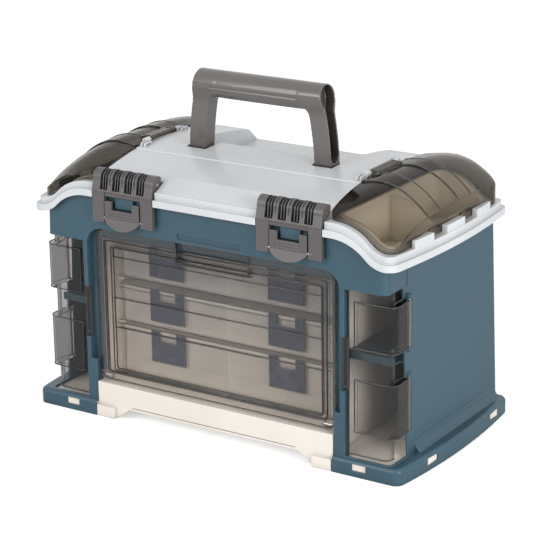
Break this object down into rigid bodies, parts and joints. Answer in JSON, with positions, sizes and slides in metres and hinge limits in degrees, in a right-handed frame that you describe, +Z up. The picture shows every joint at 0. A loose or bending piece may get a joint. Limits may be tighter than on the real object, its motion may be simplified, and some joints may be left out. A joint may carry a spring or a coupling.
{
  "type": "tackle box",
  "caption": "Large tackle box with a crowned hinged lid, folding handle, draw latches, smoky end covers, corner doors and a drop-down front door over utility boxes.",
  "frame": {"origin": "centre of the footprint on the floor", "axes": "+X to the right seen from the front, -Y to the front door, +Z up"},
  "size_m": [0.595, 0.322, 0.469],
  "materials": {
    "case_teal": "satin moulded",
    "base_white": "satin moulded",
    "inner_teal": "satin moulded",
    "pin_steel": "drawn wire",
    "utility_clear": "clear smoky plastic",
    "utility_latch": "gloss",
    "utility_divider": "clear plastic",
    "lid_silver": "silver grey, near-white rims",
    "bin_white": "satin moulded",
    "smoky_clear": "smoky brown clear plastic",
    "smoky_door": "smoky brown clear plastic",
    "latch_grey": "satin moulded",
    "lever_grey": "satin moulded",
    "catch_black": "satin moulded",
    "handle_grey": "satin moulded",
    "grip_soft": "soft grip"
  },
  "bodies": {
    "case": {"body_shell": "case_teal", "base_plate": "base_white", "bay_wall_left": "base_white", "bay_wall_right": "base_white", "bulk_floor": "base_white", "lid_hinge_pins": "pin_steel", "door_hinge_pins": "pin_steel", "corner_hinge_pins_left": "pin_steel", "corner_hinge_pins_right": "pin_steel", "corner_shelf_left": "inner_teal", "corner_shelf_right": "inner_teal"},
    "utility_box_1": {"utility_box_1_tray": "utility_clear", "utility_box_1_lid": "utility_clear", "utility_box_1_latches": "utility_latch", "utility_box_1_dividers": "utility_divider"},
    "utility_box_2": {"utility_box_2_tray": "utility_clear", "utility_box_2_lid": "utility_clear", "utility_box_2_latches": "utility_latch", "utility_box_2_dividers": "utility_divider"},
    "utility_box_3": {"utility_box_3_tray": "utility_clear", "utility_box_3_lid": "utility_clear", "utility_box_3_latches": "utility_latch", "utility_box_3_dividers": "utility_divider"},
    "lid": {"lid_shell": "lid_silver", "bin_tray_left": "bin_white", "bin_tray_right": "bin_white", "cover_hinge_pins": "pin_steel", "handle_pins": "pin_steel", "latch_hinge_pins": "pin_steel"},
    "cover_left": {"end_cover_left": "smoky_clear"},
    "latch_left": {"latch_frame_left": "latch_grey", "lever_pin_left": "pin_steel"},
    "lever_left": {"latch_lever_left": "lever_grey"},
    "corner_left": {"corner_door_left": "smoky_clear"},
    "catch_left": {"corner_catch_left": "catch_black"},
    "cover_right": {"end_cover_right": "smoky_clear"},
    "latch_right": {"latch_frame_right": "latch_grey", "lever_pin_right": "pin_steel"},
    "lever_right": {"latch_lever_right": "lever_grey"},
    "corner_right": {"corner_door_right": "smoky_clear"},
    "catch_right": {"corner_catch_right": "catch_black"},
    "handle": {"handle_frame": "handle_grey", "grip_insert": "grip_soft"},
    "door": {"front_door": "smoky_door"}
  },
  "joints": [
    {"name": "lid_hinge", "type": "hinge", "parent": "case", "child": "lid", "pos_m": [0, 0.156, 0.316], "axis": [-1, 0, 0], "range_deg": [0, 95]},
    {"name": "door_hinge", "type": "hinge", "parent": "case", "child": "door", "pos_m": [0, -0.136, 0.057], "axis": [1, 0, 0], "range_deg": [0, 90]},
    {"name": "handle_fold", "type": "hinge", "parent": "lid", "child": "handle", "pos_m": [0, -0.011, 0.35], "axis": [-1, 0, 0], "range_deg": [0, 86]},
    {"name": "cover_hinge_left", "type": "hinge", "parent": "lid", "child": "cover_left", "pos_m": [-0.173, 0, 0.3655], "axis": [0, 1, 0], "range_deg": [0, 100]},
    {"name": "latch_hinge_left", "type": "hinge", "parent": "lid", "child": "latch_left", "pos_m": [-0.129, -0.141, 0.34], "axis": [-1, 0, 0], "range_deg": [0, 100]},
    {"name": "lever_hinge_left", "type": "hinge", "parent": "latch_left", "child": "lever_left", "pos_m": [-0.129, -0.1545, 0.2885], "axis": [-1, 0, 0], "range_deg": [0, 12]},
    {"name": "corner_hinge_left", "type": "hinge", "parent": "case", "child": "corner_left", "pos_m": [-0.27, -0.097, 0.15], "axis": [0, 0, -1], "range_deg": [0, 100]},
    {"name": "catch_slide_left", "type": "slide", "parent": "corner_left", "child": "catch_left", "axis": [-1, 0, 0], "range_m": [0, 0.006]},
    {"name": "cover_hinge_right", "type": "hinge", "parent": "lid", "child": "cover_right", "pos_m": [0.173, 0, 0.3655], "axis": [0, -1, 0], "range_deg": [0, 100]},
    {"name": "latch_hinge_right", "type": "hinge", "parent": "lid", "child": "latch_right", "pos_m": [0.129, -0.141, 0.34], "axis": [-1, 0, 0], "range_deg": [0, 100]},
    {"name": "lever_hinge_right", "type": "hinge", "parent": "latch_right", "child": "lever_right", "pos_m": [0.129, -0.1545, 0.2885], "axis": [-1, 0, 0], "range_deg": [0, 12]},
    {"name": "corner_hinge_right", "type": "hinge", "parent": "case", "child": "corner_right", "pos_m": [0.27, -0.097, 0.15], "axis": [0, 0, 1], "range_deg": [0, 100]},
    {"name": "catch_slide_right", "type": "slide", "parent": "corner_right", "child": "catch_right", "axis": [1, 0, 0], "range_m": [0, 0.006]},
    {"name": "utility_slide_1", "type": "slide", "parent": "case", "child": "utility_box_1", "axis": [0, -1, 0], "range_m": [0, 0.017]},
    {"name": "utility_slide_2", "type": "slide", "parent": "case", "child": "utility_box_2", "axis": [0, -1, 0], "range_m": [0, 0.017]},
    {"name": "utility_slide_3", "type": "slide", "parent": "case", "child": "utility_box_3", "axis": [0, -1, 0], "range_m": [0, 0.017]}
  ]
}
